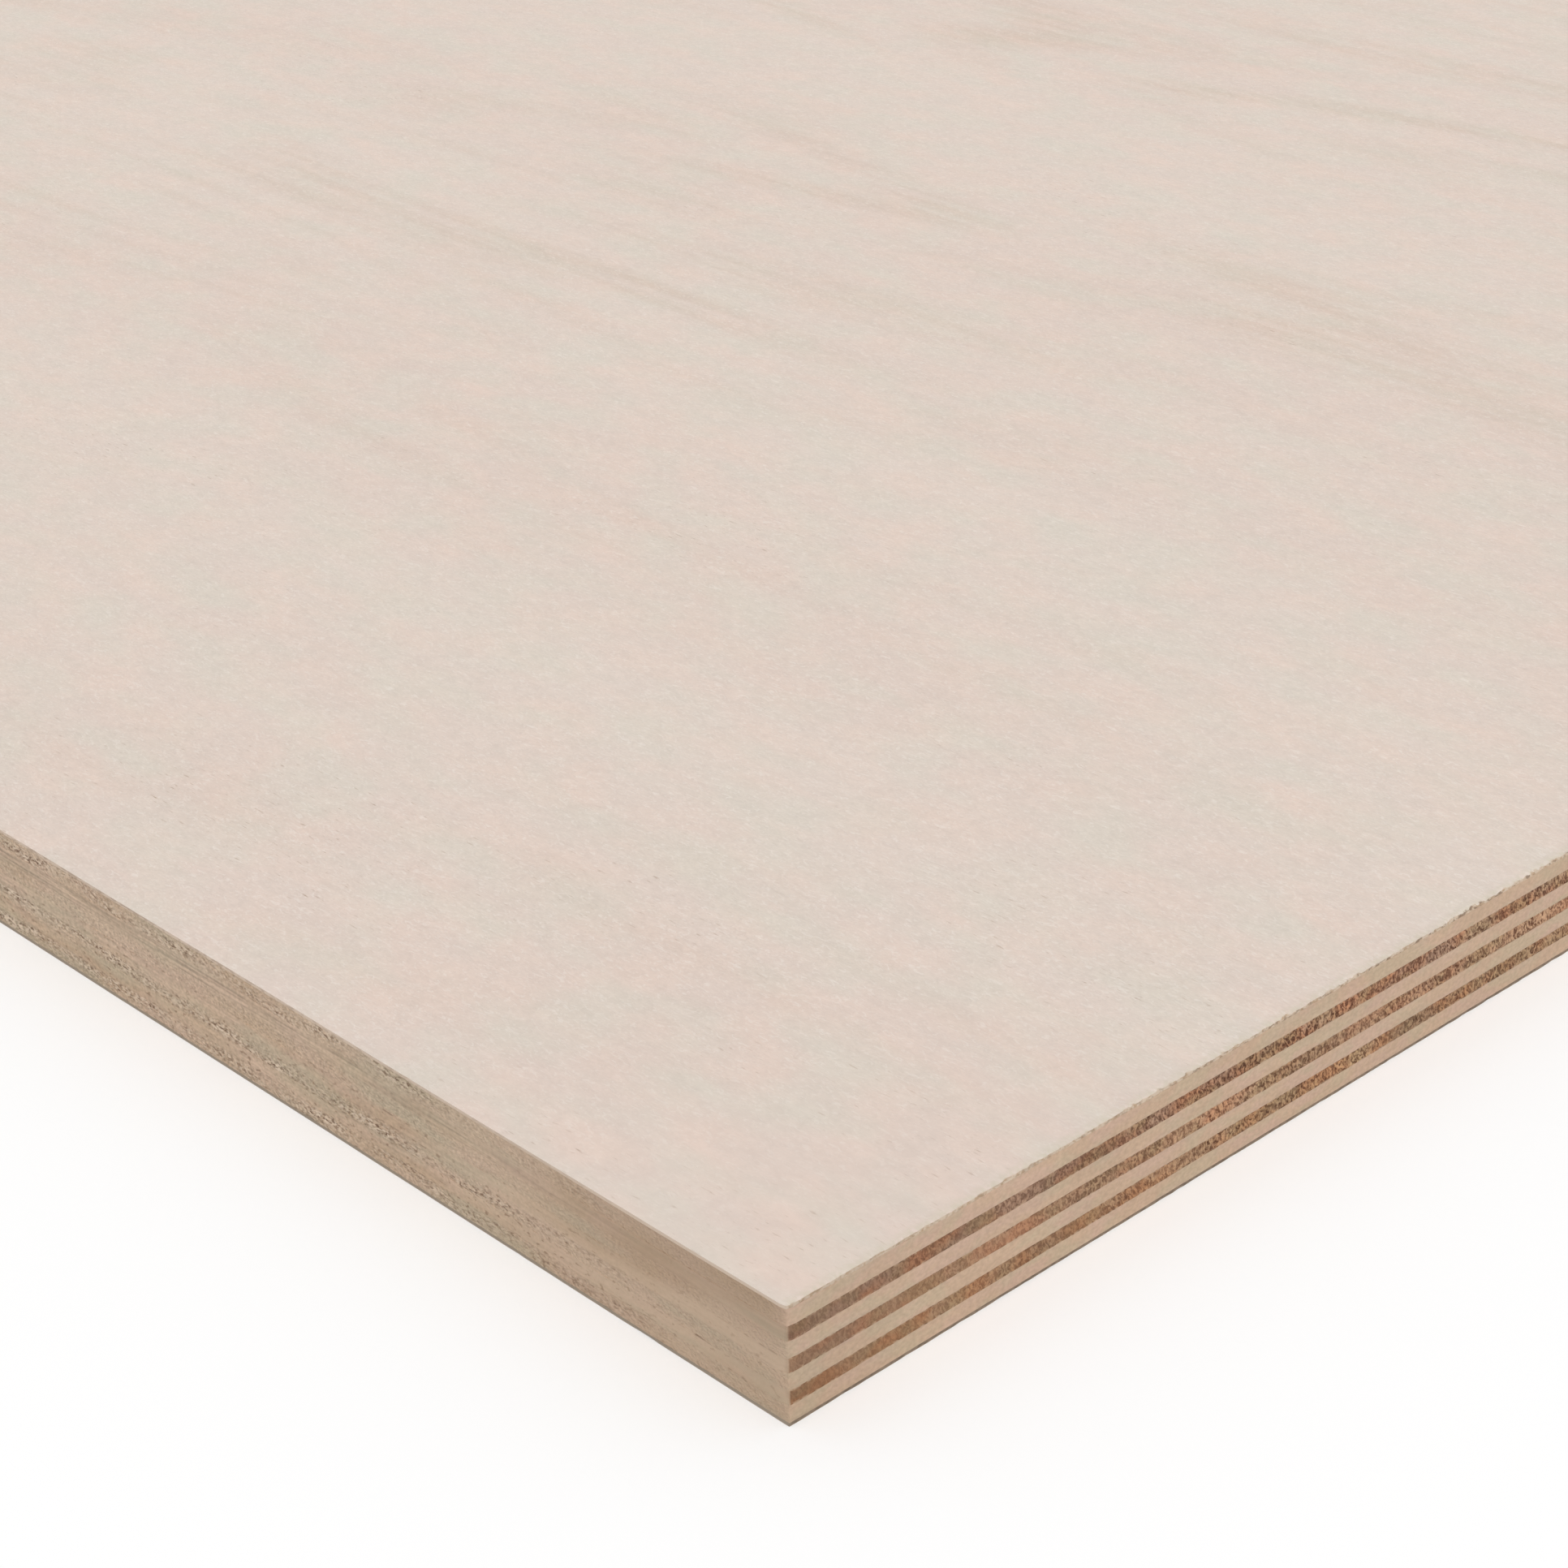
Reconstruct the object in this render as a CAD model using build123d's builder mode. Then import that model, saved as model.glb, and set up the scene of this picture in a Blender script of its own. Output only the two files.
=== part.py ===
from build123d import *
import os

# Plywood sheet, lying flat. Nine rotary-cut veneers are glued one on another with
# their grain turned by a quarter from each veneer to the next, then sawn to size.
# The origin is the middle of the underside, +X runs along the sheet's length, which
# is also the grain of both outer veneers, and +Z is up. Lengths are in millimetres.

# The full sheet, as it is sold
SHEET_LENGTH = 2440.0
SHEET_WIDTH = 1220.0

# The three thicknesses of veneer, after pressing and sanding. The outer veneers are
# thin and fine, and the cores and crossbands between them give the sheet its body.
OUTER_VENEER = 0.56
CROSSBAND = 2.54
CORE = 2.24

# The lay-up from the underside to the top, the same read from either side, so that
# the sheet stays flat. The grain runs along the sheet in the outer veneers and the
# cores, and across it in the crossbands.
LAY_UP = [
    ("back_veneer", OUTER_VENEER),
    ("bottom_crossband", CROSSBAND),
    ("lower_core", CORE),
    ("lower_crossband", CROSSBAND),
    ("middle_core", CORE),
    ("upper_crossband", CROSSBAND),
    ("upper_core", CORE),
    ("top_crossband", CROSSBAND),
    ("face_veneer", OUTER_VENEER),
]


def lay_veneer(name, underside, thickness):
    """Lays one veneer of the full sheet size at a height and gives its top's height."""
    with BuildPart() as veneer:
        with BuildSketch(Plane.XY.offset(underside)):
            Rectangle(SHEET_LENGTH, SHEET_WIDTH)
        extrude(amount=thickness)
    veneer.part.label = name
    export_step(veneer.part, f"parts/{name}.step")
    return underside + thickness


os.makedirs("parts", exist_ok=True)

# Each veneer lies on the one below it, face to face, as the press leaves them.
glue_line = 0.0
for name, thickness in LAY_UP:
    glue_line = lay_veneer(name, glue_line, thickness)

print(f"Sheet {SHEET_LENGTH:g} x {SHEET_WIDTH:g} x {glue_line:g} mm, {len(LAY_UP)} veneers")
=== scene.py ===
import math

import bmesh
import bpy
from mathutils import Euler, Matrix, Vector


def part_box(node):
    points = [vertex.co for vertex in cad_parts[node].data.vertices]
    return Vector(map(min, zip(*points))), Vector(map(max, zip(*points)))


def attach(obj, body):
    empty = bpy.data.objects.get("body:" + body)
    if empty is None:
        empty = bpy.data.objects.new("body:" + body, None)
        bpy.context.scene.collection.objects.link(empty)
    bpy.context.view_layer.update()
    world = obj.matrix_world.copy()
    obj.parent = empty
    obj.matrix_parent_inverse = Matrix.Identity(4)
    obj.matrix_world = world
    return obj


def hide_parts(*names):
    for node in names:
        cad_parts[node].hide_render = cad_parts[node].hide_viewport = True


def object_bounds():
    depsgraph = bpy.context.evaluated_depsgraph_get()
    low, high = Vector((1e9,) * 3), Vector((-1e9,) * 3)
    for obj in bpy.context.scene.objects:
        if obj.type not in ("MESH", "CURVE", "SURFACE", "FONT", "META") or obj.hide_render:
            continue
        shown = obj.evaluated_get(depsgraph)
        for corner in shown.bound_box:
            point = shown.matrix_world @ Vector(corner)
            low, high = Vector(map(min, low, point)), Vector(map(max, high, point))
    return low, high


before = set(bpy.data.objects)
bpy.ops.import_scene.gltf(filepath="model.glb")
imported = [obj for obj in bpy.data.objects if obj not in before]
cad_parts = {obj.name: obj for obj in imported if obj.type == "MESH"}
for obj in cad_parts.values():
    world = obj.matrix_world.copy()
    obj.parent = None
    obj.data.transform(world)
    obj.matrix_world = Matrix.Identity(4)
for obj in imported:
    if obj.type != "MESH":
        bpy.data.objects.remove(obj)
cad_low, cad_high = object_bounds()

# Plywood sheet: nine rotary-cut veneers with sanded faces and sawn edges. Geometry is in
# metres. Patterns and the relief of the edges are worked out in millimetres.
MM = 0.001
HALF_LENGTH = cad_high.x / MM
HALF_WIDTH = cad_high.y / MM

# The camera stands off the near corner, which is the end of the sheet at +X and -Y. The
# corner's place is told in the camera's axes: +X to the right, +Y up and -Z ahead. Angles
# are in degrees.
NEAR_CORNER = Vector((cad_high.x, cad_low.y, cad_high.z))
CORNER_FROM_CAMERA = Vector((0.25, -63.02, -428.5)) * MM
CAMERA_AZIMUTH = 47.25
CAMERA_PITCH = 27.66
CAMERA_ROLL = -1.52
CAMERA_LENS = 81.8

# The strength of the sky's light and of the lamp's, and the width of the floor in metres
SKY_LIGHT = 0.62
LAMP_LIGHT = 1.57
FLOOR_SIZE = 60

# A veneer is drawn on a grid of CELL. Its border is parted more finely, by short_step along
# the short sides, by long_step along the long ones and into rows through its thickness.
# Grain runs along the sheet in the outer veneers and the cores, and across it in the
# crossbands, and the finer step is where it ends. An outer veneer has narrow rings inside
# its arris too, where the saw has torn it.
CELL = 122 * MM
RINGS = (0.2 * MM, 0.3 * MM, 0.5 * MM)
OUTER = dict(short_step=0.4 * MM, long_step=1.0 * MM, rows=2, rings=RINGS)
CORE = dict(short_step=0.5 * MM, long_step=1.6 * MM, rows=4, rings=())
CROSSBAND = dict(short_step=1.6 * MM, long_step=0.65 * MM, rows=4, rings=())

# Two places closer than this are on one line or in one plane
SLACK = 0.1 * MM

# Faces that meet at less than this angle are shaded as one smooth surface
FACET = math.radians(40)

# The relief that the saw left, in millimetres: how far into a veneer it reaches, how deep
# its torn grain, its pits and its waves are, how deep every place lies at least, and how
# much deeper some stretches lie
SAW_REACH = 1.0
TORN_DEPTH = 0.08
PIT_DEPTH = 0.16
WAVE_DEPTH = 0.05
LEAST_DEPTH = 0.02
SWELL_DEPTH = 0.07

# How blunt the vertical arrises are at the underside, and from BLUNT_HEIGHT up, all in
# millimetres
BLUNT_BELOW = 0.03
BLUNT_ABOVE = 0.22
BLUNT_HEIGHT = 4

# The torn arris of an outer veneer, in millimetres: how far it reaches through the
# thickness, how deep its notches and its slivers go in from the side, and how far the
# sanded side drops at them and all along the arris. The back's notches and slivers are
# BACK_SHARE of the face's, because the saw's teeth came out through the face.
ARRIS_REACH = 0.5
NOTCH_DEPTH = 0.28
SLIVER_DEPTH = 0.3
NOTCH_DROP = 0.25
SLIVER_DROP = 0.2
ARRIS_DROP = 0.03
BACK_SHARE = 0.25

# How far the torn fibres of the face hang down over its sawn rim, in millimetres
TUFT_LENGTH = 0.18

# What a core's end grain multiplies its colour by, in its hollows and on its pale fibres
HOLLOW = (0.33, 0.2, 0.13, 1)
PALE_FIBRE = (1.8, 1.85, 1.9, 1)

# Node kinds that come up often
MATH = "ShaderNodeMath"
VECTOR = "ShaderNodeVectorMath"
RANGE = "ShaderNodeMapRange"
MIX = "ShaderNodeMix"
SPLIT = "ShaderNodeSeparateXYZ"
JOIN = "ShaderNodeCombineXYZ"


def linear(code):
    """An sRGB hex colour as the linear colour that shaders use."""
    parts = [int(code[place:place + 2], 16) / 255 for place in (1, 3, 5)]
    return [c / 12.92 if c <= 0.04045 else ((c + 0.055) / 1.055) ** 2.4 for c in parts] + [1]


def node(tree, kind, inputs=(), out=0, **settings):
    """Adds a node with its settings and inputs, values or links, and gives one of its outputs."""
    made = tree.nodes.new(kind)
    for setting, value in settings.items():
        setattr(made, setting, value)
    for socket, value in dict(inputs).items():
        if isinstance(value, bpy.types.NodeSocket):
            tree.links.new(value, made.inputs[socket])
        else:
            made.inputs[socket].default_value = value
    return made.outputs[out] if made.outputs else made


def marks(tree, place, size, spread=(0.3, 0.7), detail=2.0, shift=0.0, warp=0.0):
    """A random pattern from 0 to 1, with marks of about that size in millimetres along X, Y and Z.

    spread is the part of the noise that is stretched to 0 and 1: a high and narrow one
    leaves few, sharp marks. shift draws the pattern from another part of the noise, and
    warp bends the marks out of line.
    """
    scaled = node(
        tree, VECTOR, {0: place, 1: [1 / length for length in size], 2: (shift, shift, shift)},
        operation="MULTIPLY_ADD",
    )
    noise = node(
        tree, "ShaderNodeTexNoise",
        {"Vector": scaled, "Scale": 1, "Detail": detail, "Distortion": warp},
    )
    return node(
        tree, RANGE, {"Value": noise, "From Min": spread[0], "From Max": spread[1]}, out="Result"
    )


def inset_from_sides(tree, place):
    """How far a place lies in from the short sides and from the long sides, in millimetres."""
    outwards = node(tree, VECTOR, {0: place}, operation="ABSOLUTE")
    inset = node(tree, VECTOR, {0: (HALF_LENGTH, HALF_WIDTH, 0), 1: outwards}, operation="SUBTRACT")
    from_short = node(tree, SPLIT, {0: inset}, out="X")
    return from_short, from_short.node.outputs["Y"]


def from_outside(tree, place, outer_side):
    """How far a place lies below the sheet's face, or above its back, in millimetres."""
    height = node(tree, SPLIT, {0: place}, out="Z")
    outside = (cad_high.z if outer_side > 0 else cad_low.z) / MM
    away = node(tree, MATH, {0: height, 1: outside}, operation="SUBTRACT")
    return node(tree, MATH, {0: away}, operation="ABSOLUTE")


def from_middle(tree, place, name):
    """How far up or down a place lies from the middle of a veneer, as a part of its half."""
    low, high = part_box(name)
    height = node(tree, SPLIT, {0: place}, out="Z")
    above = node(tree, MATH, {0: height, 1: (low.z + high.z) / 2 / MM}, operation="SUBTRACT")
    away = node(tree, MATH, {0: above}, operation="ABSOLUTE")
    return node(tree, MATH, {0: away, 1: (high.z - low.z) / 2 / MM}, operation="DIVIDE")


def on_long_side(tree, place):
    """1 on the long sides and 0 on the short ones, with a narrow change at the corners."""
    from_short, from_long = inset_from_sides(tree, place)
    nearer = node(tree, MATH, {0: from_short, 1: from_long}, operation="SUBTRACT")
    return node(
        tree, RANGE, {"Value": nearer, "From Min": -0.4, "From Max": 0.4}, out="Result"
    )


def away_from_corner(tree, inset, reach, low=0.0):
    """From low at a corner up to 1 at reach millimetres from it. Sawn wood is worn smooth near the
    corners, so it shows its grain less there, and some colours are made darker there.
    """
    return node(
        tree, RANGE, {"Value": inset, "From Max": reach, "To Min": low, "To Max": 1},
        out="Result", interpolation_type="SMOOTHSTEP",
    )


def toward(tree, colour, other, factor, strength=1.0):
    """One colour turned toward another where a pattern is high, by strength at most."""
    amount = node(tree, MATH, {0: factor, 1: strength}, operation="MULTIPLY", use_clamp=True)
    return node(
        tree, MIX, {"Factor": amount, "A": colour, "B": other}, out="Result", data_type="RGBA"
    )


def shaded(tree, colour, pattern, low, high):
    """A colour made darker or lighter by a pattern, from low times to high times."""
    value = node(tree, RANGE, {"Value": pattern, "To Min": low, "To Max": high}, out="Result")
    return node(tree, VECTOR, {0: colour, "Scale": value}, operation="SCALE")


def grained(tree, colour, pattern, low, high, sharp):
    """A colour made darker or lighter like shaded, but in full only where sharp is 1."""
    change = node(
        tree, RANGE, {"Value": pattern, "To Min": low - 1, "To Max": high - 1}, out="Result"
    )
    value = node(tree, MATH, {0: change, 1: sharp, 2: 1}, operation="MULTIPLY_ADD")
    return node(tree, VECTOR, {0: colour, "Scale": value}, operation="SCALE")


def select_edges(piece, wanted):
    """In edit mode, selects the edges whose two ends pass a test, and nothing else."""
    bpy.ops.mesh.select_mode(type="EDGE")
    bpy.ops.mesh.select_all(action="DESELECT")
    mesh = bmesh.from_edit_mesh(piece.data)
    for edge in mesh.edges:
        if wanted(edge.verts[0].co, edge.verts[1].co):
            edge.select_set(True)
    bmesh.update_edit_mesh(piece.data)


def select_faces(piece, wanted):
    """In edit mode, selects the faces that pass a test, and nothing else."""
    bpy.ops.mesh.select_mode(type="FACE")
    bpy.ops.mesh.select_all(action="DESELECT")
    mesh = bmesh.from_edit_mesh(piece.data)
    for face in mesh.faces:
        if wanted(face):
            face.select_set(True)
    bmesh.update_edit_mesh(piece.data)


def lay_veneer(name, outer_side, short_step, long_step, rows, rings):
    """Draws one veneer as a grid, parts its border finely, and gives it its thickness."""
    low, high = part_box(name)
    bpy.ops.object.select_all(action="DESELECT")
    bpy.ops.mesh.primitive_grid_add(
        x_subdivisions=round((high.x - low.x) / CELL),
        y_subdivisions=round((high.y - low.y) / CELL),
        size=1,
        location=(0, 0, high.z),
    )
    veneer = bpy.context.object
    veneer.name = name + "_wood"
    bpy.ops.transform.resize(value=(high.x - low.x, high.y - low.y, 1))
    bpy.ops.object.transform_apply(location=True, rotation=False, scale=True)

    # The border along the short sides, then along the long ones
    bpy.ops.object.mode_set(mode="EDIT")
    select_edges(veneer, lambda a, b: min(abs(a.x), abs(b.x)) > high.x - SLACK)
    bpy.ops.mesh.subdivide(number_cuts=round(CELL / short_step) - 1)
    select_edges(veneer, lambda a, b: min(abs(a.y), abs(b.y)) > high.y - SLACK)
    bpy.ops.mesh.subdivide(number_cuts=round(CELL / long_step) - 1)

    # The thickness, parted into rows
    bpy.ops.mesh.select_all(action="SELECT")
    bpy.ops.mesh.extrude_region_move(TRANSFORM_OT_translate={"value": (0, 0, low.z - high.z)})
    bpy.ops.mesh.select_all(action="SELECT")
    bpy.ops.mesh.normals_make_consistent(inside=False)
    select_edges(veneer, lambda a, b: abs(a.z - b.z) > SLACK)
    bpy.ops.mesh.subdivide(number_cuts=rows - 1)

    # The rings inside the arris, and then a middle point for each face of many corners
    select_faces(veneer, lambda face: face.normal.z * outer_side > 0.9)
    for ring in rings:
        bpy.ops.mesh.inset(thickness=ring)
    select_faces(veneer, lambda face: len(face.verts) > 4)
    bpy.ops.mesh.poke(center_mode="BOUNDS")
    bpy.ops.object.mode_set(mode="OBJECT")
    return veneer


def near_side(tree, inset):
    """1 on a sawn side, down to 0 where the saw's relief ends."""
    return node(
        tree, RANGE, {"Value": inset, "From Max": SAW_REACH, "To Min": 1, "To Max": 0},
        out="Result", interpolation_type="SMOOTHSTEP",
    )


def sawn_depths(tree, place, across):
    """How deep the saw cut into a veneer's short sides and into its long sides.

    End grain is torn, with shallow pits of 1 to 2 mm and a few deep ones. Long grain has
    waves that are much longer along the grain than across it.
    """
    torn = marks(tree, place, (1.7, 1.7, 1.3))
    pitted = marks(tree, place, (2.4, 2.4, 1.6), spread=(0.62, 0.78), shift=31)
    end_grain = node(tree, MATH, {0: torn, 1: TORN_DEPTH}, operation="MULTIPLY")
    end_grain = node(tree, MATH, {0: pitted, 1: PIT_DEPTH, 2: end_grain}, operation="MULTIPLY_ADD")
    waved = marks(tree, place, (1, 22, 0.8) if across else (22, 1, 0.8))
    long_grain = node(tree, MATH, {0: waved, 1: WAVE_DEPTH}, operation="MULTIPLY")

    # Each veneer gave way to the saw a little differently from its neighbours
    swell = marks(tree, place, (60, 60, 2.6), shift=7)
    swell = node(tree, MATH, {0: swell, 1: SWELL_DEPTH, 2: LEAST_DEPTH}, operation="MULTIPLY_ADD")
    end_grain = node(tree, MATH, {0: end_grain, 1: swell}, operation="ADD")
    long_grain = node(tree, MATH, {0: long_grain, 1: swell}, operation="ADD")
    return (long_grain, end_grain) if across else (end_grain, long_grain)


def torn_arris(tree, place, from_long, outer_side):
    """Where an outer veneer's arris is torn: notches on the short sides and slivers on the
    long ones.

    Across the fibres it has notches of about 1 mm that come in clumps, fewer near the
    corners. Along them it has lost a few slivers of about 7 mm.
    """
    notches = marks(tree, place, (1.2, 1.0, 3), spread=(0.42, 0.66), shift=3)
    clumps = marks(tree, place, (9, 7, 9), spread=(0.35, 0.6), shift=17)
    fewer = node(
        tree, RANGE,
        {"Value": from_long, "From Min": 8, "From Max": 50, "To Min": 0.35, "To Max": 1},
        out="Result",
    )
    clumps = node(tree, MATH, {0: clumps, 1: fewer}, operation="MULTIPLY")
    notches = node(tree, MATH, {0: notches, 1: clumps}, operation="MULTIPLY")
    slivers = marks(tree, place, (7, 1.2, 3), spread=(0.66, 0.74), shift=23)
    if outer_side < 0:
        notches = node(tree, MATH, {0: notches, 1: BACK_SHARE}, operation="MULTIPLY")
        slivers = node(tree, MATH, {0: slivers, 1: BACK_SHARE}, operation="MULTIPLY")
    return notches, slivers


def arris_drop(tree, notches, slivers, at_short, at_long):
    """How far an outer veneer falls away at its arris. The fourth power keeps the fall to the
    first ring or two.
    """
    short_lip = node(tree, MATH, {0: at_short, 1: 4}, operation="POWER")
    long_lip = node(tree, MATH, {0: at_long, 1: 4}, operation="POWER")
    short_drop = node(
        tree, MATH, {0: notches, 1: NOTCH_DROP, 2: ARRIS_DROP}, operation="MULTIPLY_ADD"
    )
    long_drop = node(
        tree, MATH, {0: slivers, 1: SLIVER_DROP, 2: ARRIS_DROP}, operation="MULTIPLY_ADD"
    )
    short_drop = node(tree, MATH, {0: short_drop, 1: short_lip}, operation="MULTIPLY")
    return node(tree, MATH, {0: long_drop, 1: long_lip, 2: short_drop}, operation="MULTIPLY_ADD")


def saw_relief(name, across, outer_side):
    """A modifier's node group that gives a veneer the small relief of its sawn edges."""
    tree = bpy.data.node_groups.new("sawn relief of " + name, "GeometryNodeTree")
    tree.interface.new_socket("Veneer", in_out="INPUT", socket_type="NodeSocketGeometry")
    tree.interface.new_socket("Veneer", in_out="OUTPUT", socket_type="NodeSocketGeometry")
    veneer = node(tree, "NodeGroupInput")
    metres = node(tree, "GeometryNodeInputPosition")
    place = node(tree, VECTOR, {0: metres, "Scale": 1 / MM}, operation="SCALE")
    from_short, from_long = inset_from_sides(tree, place)
    at_short, at_long = near_side(tree, from_short), near_side(tree, from_long)
    short_depth, long_depth = sawn_depths(tree, place, across)

    # The vertical arrises are a little blunt, but less so at the underside
    height = node(tree, SPLIT, {0: place}, out="Z")
    blunt = node(
        tree, RANGE,
        {"Value": height, "From Max": BLUNT_HEIGHT, "To Min": BLUNT_BELOW, "To Max": BLUNT_ABOVE},
        out="Result",
    )
    short_depth = node(tree, MATH, {0: at_long, 1: blunt, 2: short_depth}, operation="MULTIPLY_ADD")
    long_depth = node(tree, MATH, {0: at_short, 1: blunt, 2: long_depth}, operation="MULTIPLY_ADD")

    drop = 0
    if outer_side:
        notches, slivers = torn_arris(tree, place, from_long, outer_side)
        under = from_outside(tree, place, outer_side)
        at_arris = node(
            tree, RANGE, {"Value": under, "From Max": ARRIS_REACH, "To Min": 1, "To Max": 0},
            out="Result",
        )
        notched = node(tree, MATH, {0: notches, 1: at_arris}, operation="MULTIPLY")
        short_depth = node(
            tree, MATH, {0: notched, 1: NOTCH_DEPTH, 2: short_depth}, operation="MULTIPLY_ADD"
        )
        split_off = node(tree, MATH, {0: slivers, 1: at_arris}, operation="MULTIPLY")
        long_depth = node(
            tree, MATH, {0: split_off, 1: SLIVER_DEPTH, 2: long_depth}, operation="MULTIPLY_ADD"
        )
        drop = arris_drop(tree, notches, slivers, at_short, at_long)
        drop = node(tree, MATH, {0: drop, 1: at_arris}, operation="MULTIPLY")

    short_push = node(tree, MATH, {0: short_depth, 1: at_short}, operation="MULTIPLY")
    long_push = node(tree, MATH, {0: long_depth, 1: at_long}, operation="MULTIPLY")
    push = node(tree, JOIN, {"X": short_push, "Y": long_push, "Z": drop})
    side = node(tree, VECTOR, {0: place}, operation="SIGN")
    inwards = node(tree, VECTOR, {0: side, 1: (-MM, -MM, 0)}, operation="MULTIPLY")
    inwards = node(tree, VECTOR, {0: inwards, 1: (0, 0, -outer_side * MM)}, operation="ADD")
    offset = node(tree, VECTOR, {0: push, 1: inwards}, operation="MULTIPLY")
    moved = node(tree, "GeometryNodeSetPosition", {"Geometry": veneer, "Offset": offset})
    node(tree, "NodeGroupOutput", {0: moved})
    return tree


def saw_edges(veneer, name, across, outer_side):
    """Applies the saw's relief to a veneer and shades it smooth between its arrises."""
    bpy.ops.object.select_all(action="DESELECT")
    veneer.select_set(True)
    bpy.context.view_layer.objects.active = veneer
    modifier = veneer.modifiers.new("sawn relief", "NODES")
    modifier.node_group = saw_relief(name, across, outer_side)
    bpy.ops.object.modifier_apply(modifier=modifier.name)
    bpy.ops.object.shade_smooth_by_angle(angle=FACET)


def new_wood(name):
    """A material with an empty node tree, and the tree's place in millimetres."""
    material = bpy.data.materials.new(name)
    material.use_nodes = True
    tree = material.node_tree
    tree.nodes.clear()
    metres = node(tree, "ShaderNodeTexCoord", out="Object")
    place = node(tree, VECTOR, {0: metres, "Scale": 1 / MM}, operation="SCALE")
    return material, tree, place


def dry_wood(tree, colour, relief, depth):
    """Bare wood's shader: matt, with a weak shine, and a relief that is depth millimetres deep."""
    bump = node(
        tree, "ShaderNodeBump", {"Height": relief, "Distance": depth * MM, "Strength": 1},
        out="Normal",
    )
    shader = node(
        tree, "ShaderNodeBsdfPrincipled",
        {"Base Color": colour, "Roughness": 0.7, "Specular IOR Level": 0.25, "Normal": bump},
    )
    node(tree, "ShaderNodeOutputMaterial", {"Surface": shader})


def cream_clouds(tree, place):
    """The sanded faces' ground: pale cream with soft pink and grey clouds."""
    blush = marks(tree, place, (420, 60, 60), spread=(0.35, 0.65), shift=41)
    colour = toward(tree, linear("#DED0C5"), linear("#DDCCC1"), blush)
    warm = marks(tree, place, (14, 8, 8), spread=(0.4, 0.7), shift=2)
    colour = toward(tree, colour, linear("#E6CFC1"), warm, 0.45)
    grey = marks(tree, place, (19, 10, 10), spread=(0.42, 0.7))
    return toward(tree, colour, linear("#D8D1C4"), grey, 0.6)


def growth_rings(tree, place, from_corner):
    """Growth rings, cut almost flat by the peeling knife: broad loops along the sheet, broken
    into strokes, and plain for long stretches, as near the corners.
    """
    # About twenty rings from the lowest part of the field to its highest
    field = marks(tree, place, (900, 110, 1000), spread=(0, 1), detail=1.4, shift=5)
    rings = node(tree, MATH, {0: field, 1: 130}, operation="MULTIPLY")
    rings = node(tree, MATH, {0: rings}, operation="SINE")
    rings = node(tree, RANGE, {"Value": rings, "From Min": -0.5, "From Max": 1}, out="Result")
    strokes = marks(tree, place, (50, 3.5, 3.5), spread=(0.3, 0.66), shift=45)
    patches = marks(tree, place, (420, 110, 1000), spread=(0.42, 0.66), shift=9)
    plain = away_from_corner(tree, from_corner, 320, low=0.1)
    patches = node(tree, MATH, {0: patches, 1: plain}, operation="MULTIPLY")
    strokes = node(tree, MATH, {0: strokes, 1: patches}, operation="MULTIPLY")
    return node(tree, MATH, {0: rings, 1: strokes}, operation="MULTIPLY")


def curled_fibres(tree, place, colour, sharp):
    """A sanded face's short curled fibres, some of them whitish like silk."""
    curls = marks(tree, place, (1.1, 0.7, 0.7), shift=27, warp=1.3)
    colour = grained(tree, colour, curls, 0.955, 1.03, sharp)
    silky = marks(tree, place, (1.4, 0.65, 0.65), spread=(0.54, 0.7), shift=19, warp=1.3)
    silky = node(tree, MATH, {0: silky, 1: sharp}, operation="MULTIPLY")
    return toward(tree, colour, linear("#F1E9E1"), silky, 0.34)


def brown_flecks(tree, place):
    """Strokes of 1 to 3 mm, in loose groups and no two alike."""
    flecks = marks(tree, place, (2.6, 0.5, 0.5), spread=(0.64, 0.8), shift=33)
    groups = marks(tree, place, (70, 34, 34), spread=(0.48, 0.72), shift=37)
    return node(tree, MATH, {0: flecks, 1: groups}, operation="MULTIPLY")


def torn_fuzz(tree, place, from_short):
    """The fuzz on the face's torn edge on the short sides, a millimetre or so wide."""
    fuzz = marks(tree, place, (1.4, 1, 1), spread=(0.3, 0.6), shift=49, warp=0.8)
    at_edge = node(
        tree, RANGE,
        {"Value": from_short, "From Min": 0.2, "From Max": 1.8, "To Min": 1, "To Max": 0},
        out="Result",
    )
    return node(tree, MATH, {0: fuzz, 1: at_edge}, operation="MULTIPLY")


def hanging_tufts(tree, place, from_long, long_side):
    """Where the face hangs over its sawn rim: on the short sides, and less near the corners."""
    tufts = marks(tree, place, (1.2, 0.8, 8), spread=(0.42, 0.66), shift=53)
    torn = away_from_corner(tree, from_long, 140, low=0.25)
    tufts = node(tree, MATH, {0: tufts, 1: torn}, operation="MULTIPLY")
    short_side = node(tree, MATH, {0: 1, 1: long_side}, operation="SUBTRACT")
    return node(tree, MATH, {0: tufts, 1: short_side}, operation="MULTIPLY")


def rim_on_short_sides(tree, place, from_long):
    """The face's rim in end grain: pale tufts over a row of dark nicks, darker at the corners."""
    tufts = marks(tree, place, (0.9, 0.7, 0.5), spread=(0.35, 0.55), shift=13)
    colour = toward(tree, linear("#B3997F"), linear("#D3C2AF"), tufts, 0.7)
    nicks = marks(tree, place, (1.4, 1, 0.6), spread=(0.5, 0.62), shift=29)
    torn = away_from_corner(tree, from_long, 140, low=0.25)
    nicks = node(tree, MATH, {0: nicks, 1: torn}, operation="MULTIPLY")
    colour = toward(tree, colour, linear("#786250"), nicks, 0.75)
    return shaded(tree, colour, away_from_corner(tree, from_long, 30), 0.9, 1)


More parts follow.
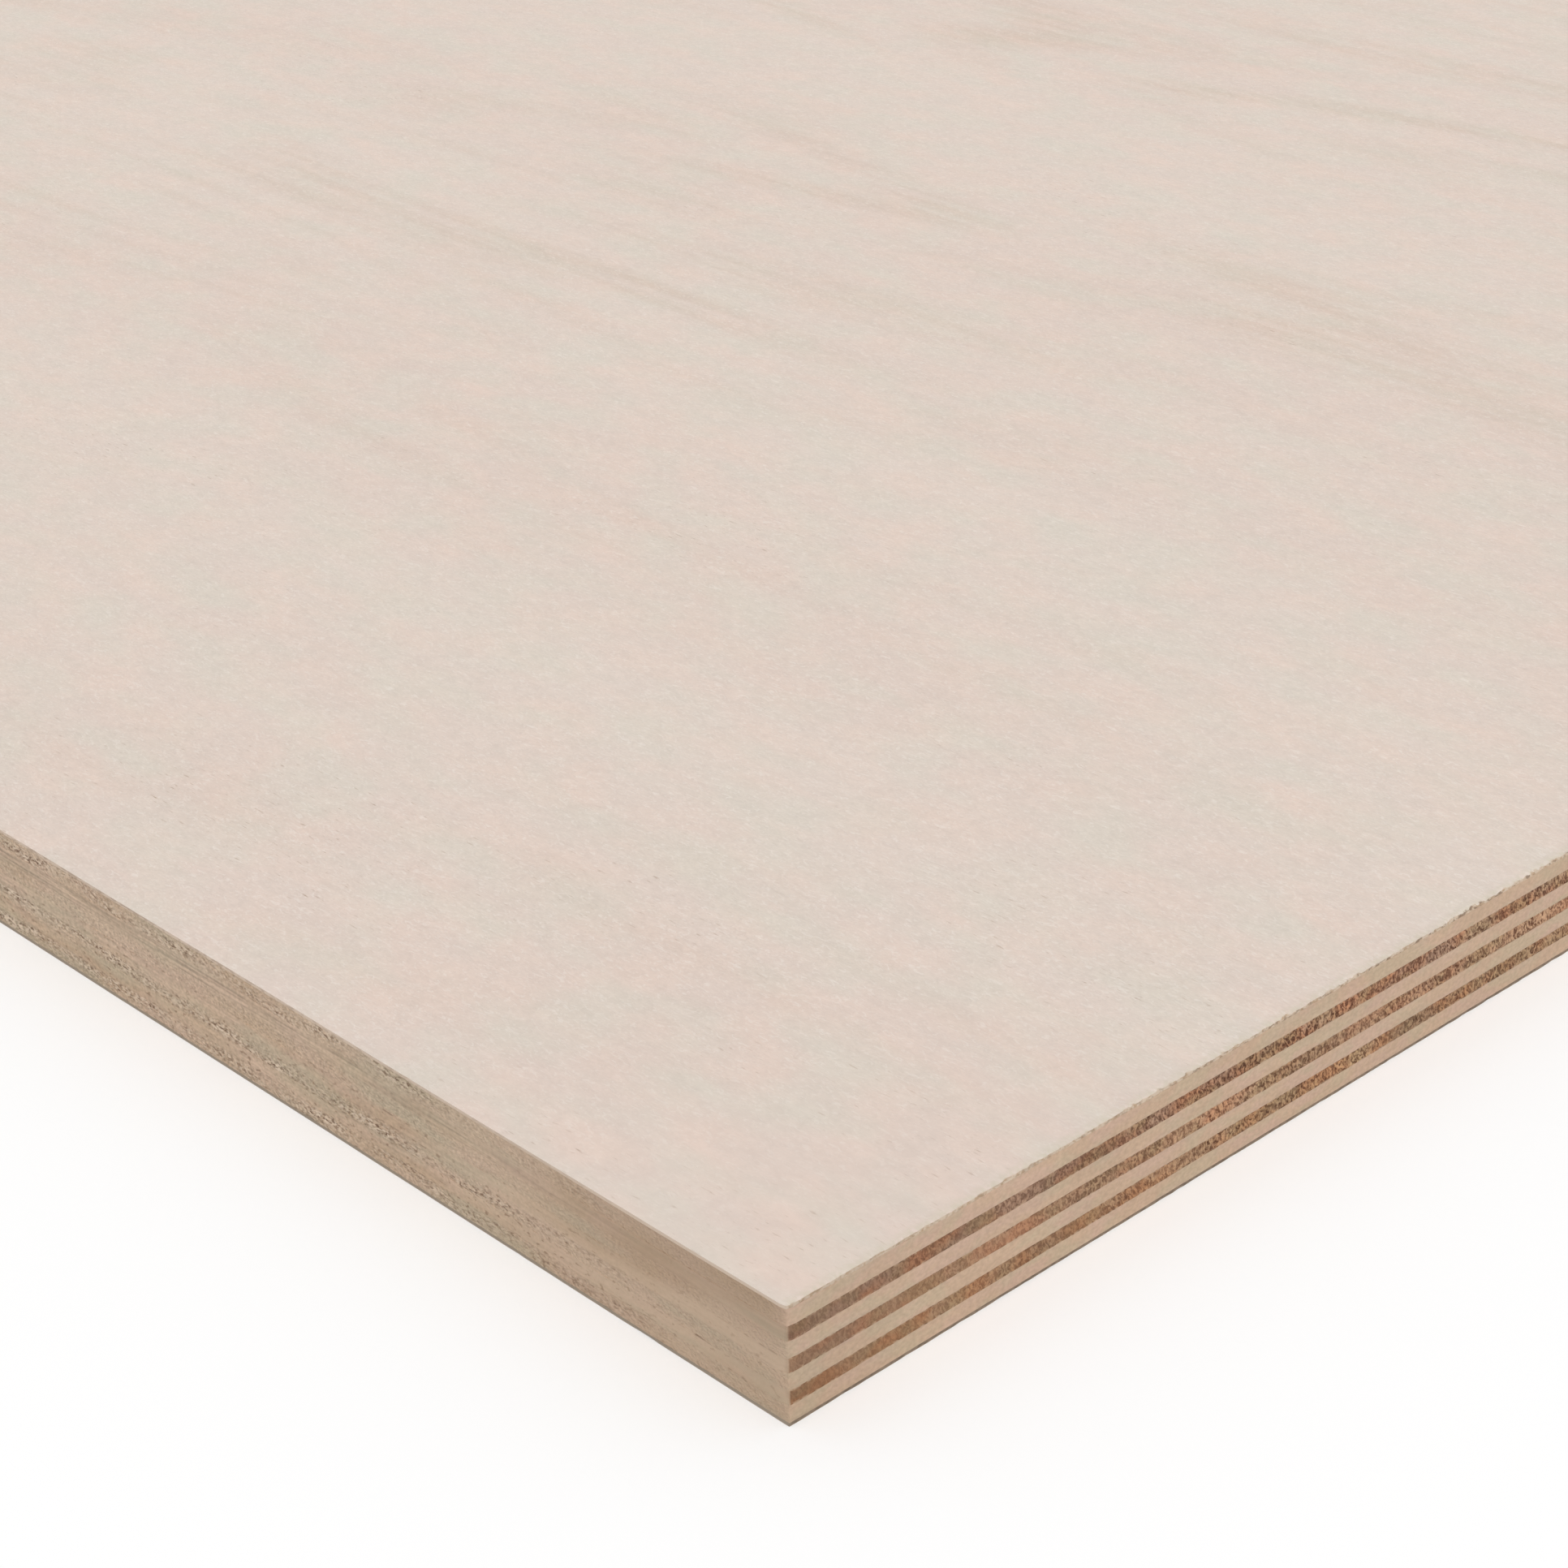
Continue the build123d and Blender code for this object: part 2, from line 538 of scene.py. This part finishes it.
def rim_on_long_sides(tree, place, from_short):
    """The face's rim in long grain: pale, with small pits away from the corners."""
    pits = marks(tree, place, (1.4, 1.2, 0.5), spread=(0.46, 0.62), shift=57)
    rough = away_from_corner(tree, from_short, 160, low=0.1)
    pits = node(tree, MATH, {0: pits, 1: rough}, operation="MULTIPLY")
    return toward(tree, linear("#D1BDAA"), linear("#8A6F58"), pits, 0.45)


def sanded_face(name, outer_side):
    """Rotary-cut poplar, belt-sanded: pale cream with soft pink and grey clouds, short silky
    fibres along the sheet, a very faint figure and a few flecks. Its sawn rim is darker.
    """
    material, tree, place = new_wood(name)
    from_short, from_long = inset_from_sides(tree, place)
    from_corner = node(tree, MATH, {0: from_short, 1: from_long}, operation="ADD")
    colour = cream_clouds(tree, place)
    colour = toward(tree, colour, linear("#BFA78F"), growth_rings(tree, place, from_corner), 0.34)

    # Fibres hardly show where the face is worn, near its corners. A real fibre is a few
    # hundredths of a millimetre wide, too fine to show, so the finest are drawn 0.3 mm wide
    sharp = away_from_corner(tree, from_corner, 120, low=0.35)
    mottle = marks(tree, place, (3.6, 2.4, 2.4), warp=0.8)
    colour = shaded(tree, colour, mottle, 0.972, 1.022)
    fibres = marks(tree, place, (3.4, 0.3, 0.3))
    colour = grained(tree, colour, fibres, 0.98, 1.012, sharp)
    colour = curled_fibres(tree, place, colour, sharp)
    colour = toward(tree, colour, linear("#A58C76"), brown_flecks(tree, place), 0.8)
    colour = toward(tree, colour, linear("#CCC2AE"), torn_fuzz(tree, place, from_short), 0.7)

    # The sawn rim, which the face's torn fibres hang over. The back's is dark with painted shade
    long_side = on_long_side(tree, place)
    under = from_outside(tree, place, outer_side)
    if outer_side > 0:
        tufts = hanging_tufts(tree, place, from_long, long_side)
        under = node(tree, MATH, {0: tufts, 1: -TUFT_LENGTH, 2: under}, operation="MULTIPLY_ADD")
        short_rim = rim_on_short_sides(tree, place, from_long)
        long_rim = rim_on_long_sides(tree, place, from_short)
    else:
        # Painted shade along the back's bottom arris, where the sheet meets the floor, in two dark
        # tones
        dark_rim_mottle = marks(tree, place, (1.2, 1, 0.3), spread=(0.35, 0.65), shift=13)
        short_rim = toward(tree, linear("#6F6052"), linear("#8F7D6B"), dark_rim_mottle)
        long_rim = linear("#988B7C")
    rim_colour = toward(tree, short_rim, long_rim, long_side)
    rim = node(tree, RANGE, {"Value": under, "From Min": 0.05, "From Max": 0.13}, out="Result")
    colour = toward(tree, colour, rim_colour, rim)

    # The belt's scratches run along the sheet, as the fibres do, and are drawn as coarse
    sanding = marks(tree, place, (90, 0.35, 0.35), shift=3)
    relief = node(tree, MATH, {0: sanding, 1: fibres}, operation="ADD")
    relief = node(tree, MATH, {0: relief, 1: sharp}, operation="MULTIPLY")
    dry_wood(tree, colour, relief, 0.01)
    return material


def edge_wood(tree, place, sharp):
    """The sawn long sides: warm grey-brown, with pink, grey and brown blotches that run on
    from veneer to veneer, so that the veneers hardly stand out from one another. sharp
    tells where their grain and grit show.
    """
    brown = marks(tree, place, (36, 36, 8), spread=(0.42, 0.66), shift=71)
    colour = toward(tree, linear("#C9B199"), linear("#BBA187"), brown)
    pink = marks(tree, place, (13, 13, 4), spread=(0.44, 0.66), shift=11)
    colour = toward(tree, colour, linear("#C8AC98"), pink, 0.5)
    grey = marks(tree, place, (20, 20, 4), spread=(0.46, 0.64), shift=51)
    colour = toward(tree, colour, linear("#B9AB93"), grey, 0.65)
    streaks = marks(tree, place, (9, 9, 0.5), shift=61)
    colour = grained(tree, colour, streaks, 0.965, 1.035, sharp)

    # Real grit and vessels are a tenth of a millimetre or less, too fine to show, so grit
    # and pits are drawn about a millimetre wide
    grit = marks(tree, place, (0.7, 0.7, 0.5), shift=63)
    colour = grained(tree, colour, grit, 0.86, 1.14, sharp)

    # Single pits, most of them in the lower half and few near the corners
    from_short, _ = inset_from_sides(tree, place)
    height = node(tree, SPLIT, {0: place}, out="Z")
    lower = node(
        tree, RANGE, {"Value": height, "From Min": 7, "From Max": 12, "To Min": 1, "To Max": 0.3},
        out="Result",
    )
    pits = marks(tree, place, (1.3, 1.3, 0.7), spread=(0.6, 0.7), shift=67)
    pits = node(tree, MATH, {0: pits, 1: lower}, operation="MULTIPLY")
    unworn = away_from_corner(tree, from_short, 60, low=0.5)
    pits = node(tree, MATH, {0: pits, 1: unworn}, operation="MULTIPLY")
    colour = toward(tree, colour, linear("#7F634C"), pits, 0.65)

    # Painted shade: darker brown near the corner, and more so in the upper half
    upper = node(
        tree, RANGE, {"Value": height, "From Min": 9, "From Max": 14, "To Min": 0.4, "To Max": 1},
        out="Result",
    )
    out_of_shade = away_from_corner(tree, from_short, 80)
    painted_shade = node(tree, MATH, {0: 1, 1: out_of_shade}, operation="SUBTRACT")
    painted_shade = node(tree, MATH, {0: upper, 1: painted_shade}, operation="MULTIPLY")
    return toward(tree, colour, linear("#957A62"), painted_shade, 0.42)


def smooth_poplar(tree, place, from_long, shift):
    """A crossband on the short sides, where the saw ran along its grain: smooth light tan with
    faint pink and green patches and slow clouds, darker at the corners.
    """
    pink = marks(tree, place, (8, 8, 3), spread=(0.45, 0.6), shift=shift)
    colour = toward(tree, linear("#C3A78E"), linear("#C8A899"), pink, 0.38)
    green = marks(tree, place, (7, 7, 3), spread=(0.48, 0.62), shift=shift + 3)
    colour = toward(tree, colour, linear("#BBAB90"), green, 0.48)
    clouds = marks(tree, place, (13, 13, 5), shift=shift + 13)
    colour = shaded(tree, colour, clouds, 0.965, 1.03)
    lines = marks(tree, place, (1, 26, 0.5), shift=shift)
    colour = shaded(tree, colour, lines, 0.975, 1.02)
    fine = marks(tree, place, (0.5, 0.75, 0.5), shift=shift + 1)
    colour = shaded(tree, colour, fine, 0.91, 1.085)
    return shaded(tree, colour, away_from_corner(tree, from_long, 30), 0.93, 1)


def pit_rows(tree, place, name, from_short, shift, smooth_for):
    """Where a crossband's end grain is torn: in clumps along a row that wanders up and down in
    the veneer, and only slowly from the corner.
    """
    drift = marks(tree, place, (20, 20, 300), shift=shift + 10)
    drift = node(tree, MATH, {0: drift, 1: 1.8, 2: -0.9}, operation="MULTIPLY_ADD")
    drift = node(tree, JOIN, {"Z": drift})
    drifted = node(tree, VECTOR, {0: place, 1: drift}, operation="ADD")
    off_row = from_middle(tree, drifted, name)
    in_row = node(
        tree, RANGE, {"Value": off_row, "From Min": 0.2, "From Max": 1, "To Min": 1, "To Max": 0.2},
        out="Result",
    )
    clumps = marks(tree, place, (13, 13, 40), spread=(0.32, 0.62), shift=shift + 8)
    clumps = node(tree, MATH, {0: clumps, 1: in_row}, operation="MULTIPLY")
    rough = away_from_corner(tree, from_short, smooth_for, low=0.1)
    return node(tree, MATH, {0: clumps, 1: rough}, operation="MULTIPLY")


def crossband_wood(name, shift, smooth_for):
    """Rotary-cut poplar with its grain across the sheet: smooth light tan where the saw ran
    along the grain, on the short sides, and rough end grain with rows of dark pits on the
    long sides. shift draws its patterns from another part of the noise, and the pits begin
    slowly, over the first smooth_for millimetres from the corner.
    """
    material, tree, place = new_wood(name.replace("_", " ") + " poplar")
    from_short, from_long = inset_from_sides(tree, place)
    smooth = smooth_poplar(tree, place, from_long, shift)

    # Poplar's vessels are a tenth of a millimetre wide or less, too fine to show, so the end
    # grain is drawn coarser, in grains of half a millimetre and in pits and fluff of about one
    sharp = away_from_corner(tree, from_short, 110, low=0.2)
    grains = marks(tree, place, (0.55, 0.55, 0.4), shift=shift)
    end = grained(tree, edge_wood(tree, place, sharp), grains, 0.81, 1.18, sharp)
    rows = pit_rows(tree, place, name, from_short, shift, smooth_for)
    pits = marks(tree, place, (1, 1, 0.45), spread=(0.47, 0.61), shift=shift + 2)
    pits = node(tree, MATH, {0: pits, 1: rows}, operation="MULTIPLY")
    end = toward(tree, end, linear("#694B35"), pits, 0.95)
    fluff = marks(tree, place, (0.8, 0.8, 0.4), spread=(0.48, 0.6), shift=shift + 6)
    fluff = node(tree, MATH, {0: fluff, 1: rows}, operation="MULTIPLY")
    fluff = node(tree, MATH, {0: fluff, 1: sharp}, operation="MULTIPLY")
    end = toward(tree, end, linear("#E6D1BA"), fluff, 0.9)

    # Next to the vertical arris it is worn as smooth and light as the short sides
    worn = node(
        tree, RANGE,
        {"Value": from_short, "From Min": 0.4, "From Max": 3, "To Min": 0.7, "To Max": 0},
        out="Result",
    )
    end = toward(tree, end, smooth, worn)

    long_side = on_long_side(tree, place)
    colour = toward(tree, smooth, end, long_side)
    relief = node(tree, MATH, {0: grains, 1: pits}, operation="SUBTRACT")
    relief = node(tree, MATH, {0: relief, 1: long_side}, operation="MULTIPLY")
    dry_wood(tree, colour, relief, 0.12)
    return material


def streaked_grain(tree, place, from_short, nicks, shift, streak):
    """A core on the long sides, where the saw ran along its grain: smooth, with streaks, and
    with slits along its glue lines in places.
    """
    sharp = away_from_corner(tree, from_short, 110, low=0.2)
    lines = marks(tree, place, (20, 1, 0.5), spread=(0.25, 0.62), shift=shift)
    colour = grained(tree, edge_wood(tree, place, sharp), lines, 1 - streak, 1.05, sharp)
    rows = marks(tree, place, (26, 26, 5), spread=(0.5, 0.66), shift=shift + 18)
    slits = node(tree, MATH, {0: nicks, 1: rows}, operation="MULTIPLY")
    return toward(tree, colour, linear("#6A503D"), slits, 0.8)


def felt_of_strokes(tree, place, from_long, shift, contrast):
    """The pattern of a core's end grain: short strokes that lean and are bent out of line.
    They stand out more and more from the corners inwards, and more in some patches.

    Real vessels and fibres are too fine to show, so the strokes are drawn about a
    millimetre long.
    """
    lean = node(tree, VECTOR, {0: place, 1: (0, 1, 0.3)}, out="Value", operation="DOT_PRODUCT")
    height = node(tree, SPLIT, {0: place}, out="Z")
    leaning = node(tree, JOIN, {"Y": lean, "Z": height})
    strokes = marks(tree, leaning, (1, 0.6, 0.95), spread=(0.4, 0.6), shift=shift, warp=0.9)
    grains = marks(tree, place, (0.4, 0.36, 0.36), spread=(0.36, 0.64), shift=shift)

    # The strokes with half as much of the grains, from -0.5 to 0.5 until strength spreads them
    felt = node(tree, MATH, {0: grains, 1: 0.5, 2: strokes}, operation="MULTIPLY_ADD")
    felt = node(tree, MATH, {0: felt, 1: 1.5}, operation="DIVIDE")
    felt = node(tree, MATH, {0: felt, 1: 0.5}, operation="SUBTRACT")
    patches = marks(tree, place, (12, 12, 40), shift=shift + 9)
    strength = node(
        tree, RANGE, {"Value": patches, "To Min": 0.8 * contrast, "To Max": 1.35 * contrast},
        out="Result",
    )
    unworn = away_from_corner(tree, from_long, 115, low=0.3)
    strength = node(tree, MATH, {0: unworn, 1: strength}, operation="MULTIPLY")
    return node(tree, MATH, {0: felt, 1: strength, 2: 0.5}, operation="MULTIPLY_ADD")


def core_wood(name, shift, grey, rust, contrast, streak):
    """Rotary-cut hardwood of a core, with its grain along the sheet: dark end grain on the
    short sides, a felt of short strokes in grey, rusty and olive patches, and smooth wood
    on the long sides. shift draws its patterns from another part of the noise, contrast
    tells how strongly the strokes stand out, and streak how dark the long sides' streaks are.
    """
    material, tree, place = new_wood(name.replace("_", " ") + " wood")
    from_short, from_long = inset_from_sides(tree, place)
    off_middle = from_middle(tree, place, name)
    glue = node(
        tree, RANGE, {"Value": off_middle, "From Min": 0.72, "From Max": 0.95}, out="Result"
    )
    nicks = marks(tree, place, (1.6, 1.4, 0.5), spread=(0.52, 0.64), shift=shift + 12)
    nicks = node(tree, MATH, {0: nicks, 1: glue}, operation="MULTIPLY")

    rusty = marks(tree, place, (7, 7, 5), spread=(0.4, 0.6), shift=shift)
    end = toward(tree, linear(grey), linear(rust), rusty)
    olive = marks(tree, place, (6, 6, 4), spread=(0.48, 0.66), shift=shift + 4)
    end = toward(tree, end, linear("#8A7455"), olive, 0.55)
    broad = marks(tree, place, (22, 22, 40), shift=shift + 6)
    end = shaded(tree, end, broad, 0.84, 1.16)
    felt = felt_of_strokes(tree, place, from_long, shift, contrast)
    tone = toward(tree, HOLLOW, PALE_FIBRE, felt)
    end = node(tree, VECTOR, {0: end, 1: tone}, operation="MULTIPLY")
    # Darker near the corners
    end = shaded(tree, end, away_from_corner(tree, from_long, 32), 0.79, 1)

    # Along both glue lines the wood is crushed: dark nicks, and specks of the next veneer
    end = toward(tree, end, linear("#4F392A"), nicks, 0.6)
    specks = marks(tree, place, (0.9, 0.8, 0.4), spread=(0.5, 0.62), shift=shift + 15)
    specks = node(tree, MATH, {0: specks, 1: glue}, operation="MULTIPLY")
    end = toward(tree, end, linear("#BFA489"), specks, 0.7)

    # The long sides' wood reaches round the corner a little, where the arris is worn light
    long_side = node(
        tree, RANGE,
        {"Value": from_long, "From Min": 0.2, "From Max": 0.6, "To Min": 1, "To Max": 0},
        out="Result",
    )
    smooth = streaked_grain(tree, place, from_short, nicks, shift, streak)
    colour = toward(tree, end, smooth, long_side)
    short_side = node(tree, MATH, {0: 1, 1: long_side}, operation="SUBTRACT")
    relief = node(tree, MATH, {0: short_side, 1: felt}, operation="MULTIPLY")
    dry_wood(tree, colour, relief, 0.1)
    return material


def directly_seen(tree):
    """1 for what the camera sees, also in a reflection or through glass, and 0 for light."""
    camera = node(tree, "ShaderNodeLightPath", out="Is Camera Ray")
    paths = camera.node.outputs
    either = node(
        tree, MATH, {0: paths["Is Glossy Ray"], 1: paths["Is Transmission Ray"]},
        operation="MAXIMUM",
    )
    return node(tree, MATH, {0: camera, 1: either}, operation="MAXIMUM")


def plain_floor():
    """A wide pale floor. Seen by the camera it is white, and it keeps the sheet's shadow."""
    bpy.ops.object.select_all(action="DESELECT")
    bpy.ops.mesh.primitive_plane_add(size=FLOOR_SIZE, location=(0, 0, 0))
    floor = bpy.context.object
    floor.name = "floor"
    material = bpy.data.materials.new("pale floor")
    material.use_nodes = True
    tree = material.node_tree
    tree.nodes.clear()
    colour = toward(tree, linear("#E6E6E6"), linear("#FFFFFF"), directly_seen(tree))
    shade = node(tree, "ShaderNodeBsdfDiffuse", {"Color": colour})
    node(tree, "ShaderNodeOutputMaterial", {"Surface": shade})
    floor.data.materials.append(material)


def soft_light():
    """An even sky, seen as white, and a wide soft lamp from the upper right of the near corner."""
    world = bpy.data.worlds.new("soft white sky")
    bpy.context.scene.world = world
    world.use_nodes = True
    tree = world.node_tree
    tree.nodes.clear()
    strength = node(
        tree, RANGE, {"Value": directly_seen(tree), "To Min": SKY_LIGHT, "To Max": 1}, out="Result"
    )
    sky = node(tree, "ShaderNodeBackground", {"Color": (1, 1, 1, 1), "Strength": strength})
    node(tree, "ShaderNodeOutputWorld", {"Surface": sky})
    bpy.ops.object.light_add(type="SUN", location=(2, -1, 3))
    lamp = bpy.context.object
    lamp.name = "soft lamp"
    lamp.data.energy = LAMP_LIGHT
    lamp.data.angle = math.radians(40)
    lamp.rotation_euler = Euler((math.radians(40), 0, math.radians(60)))


def photo_camera():
    """The camera, placed by where the near corner stands in its view."""
    turn = (
        Euler((0, 0, math.radians(CAMERA_AZIMUTH))).to_matrix()
        @ Euler((math.radians(90 - CAMERA_PITCH), 0, 0)).to_matrix()
        @ Euler((0, 0, math.radians(CAMERA_ROLL))).to_matrix()
    )
    bpy.ops.object.camera_add(
        location=NEAR_CORNER - turn @ CORNER_FROM_CAMERA, rotation=turn.to_euler()
    )
    camera = bpy.context.object
    camera.data.lens = CAMERA_LENS
    camera.data.clip_start = 0.01
    bpy.context.scene.camera = camera


# The veneers from the top down: how finely each is drawn, whether its grain runs across the
# sheet, which way its sanded side faces (1 is up, -1 is down, and 0 is an inner veneer, which
# has none), its material and its slot
VENEERS = {
    "face_veneer": (OUTER, False, 1, sanded_face("sanded poplar face", 1), "face_veneer"),
    "top_crossband": (
        CROSSBAND, True, 0,
        crossband_wood("top_crossband", shift=0, smooth_for=105),
        "crossband_veneer",
    ),
    "upper_core": (
        CORE, False, 0,
        core_wood(
            "upper_core", shift=0, grey="#8F715C", rust="#91664A", contrast=1.25, streak=0.42
        ),
        "core_veneer",
    ),
    "upper_crossband": (
        CROSSBAND, True, 0,
        crossband_wood("upper_crossband", shift=20, smooth_for=500),
        "crossband_veneer",
    ),
    "middle_core": (
        CORE, False, 0,
        core_wood(
            "middle_core", shift=20, grey="#96765C", rust="#997054", contrast=1, streak=0.16
        ),
        "core_veneer",
    ),
    "lower_crossband": (
        CROSSBAND, True, 0,
        crossband_wood("lower_crossband", shift=40, smooth_for=80),
        "crossband_veneer",
    ),
    "lower_core": (
        CORE, False, 0,
        core_wood(
            "lower_core", shift=40, grey="#917358", rust="#956C4C", contrast=1.05, streak=0.13
        ),
        "core_veneer",
    ),
    "bottom_crossband": (
        CROSSBAND, True, 0,
        crossband_wood("bottom_crossband", shift=60, smooth_for=65),
        "crossband_veneer",
    ),
    "back_veneer": (OUTER, False, -1, sanded_face("sanded poplar back", -1), "face_veneer"),
}
for name, (parting, across, outer_side, material, slot) in VENEERS.items():
    veneer = lay_veneer(name, outer_side, **parting)
    saw_edges(veneer, name, across, outer_side)
    veneer.data.materials.append(material)
    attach(veneer, "root")
    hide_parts(name)

plain_floor()
soft_light()
photo_camera()
bpy.context.scene.view_settings.view_transform = "Standard"
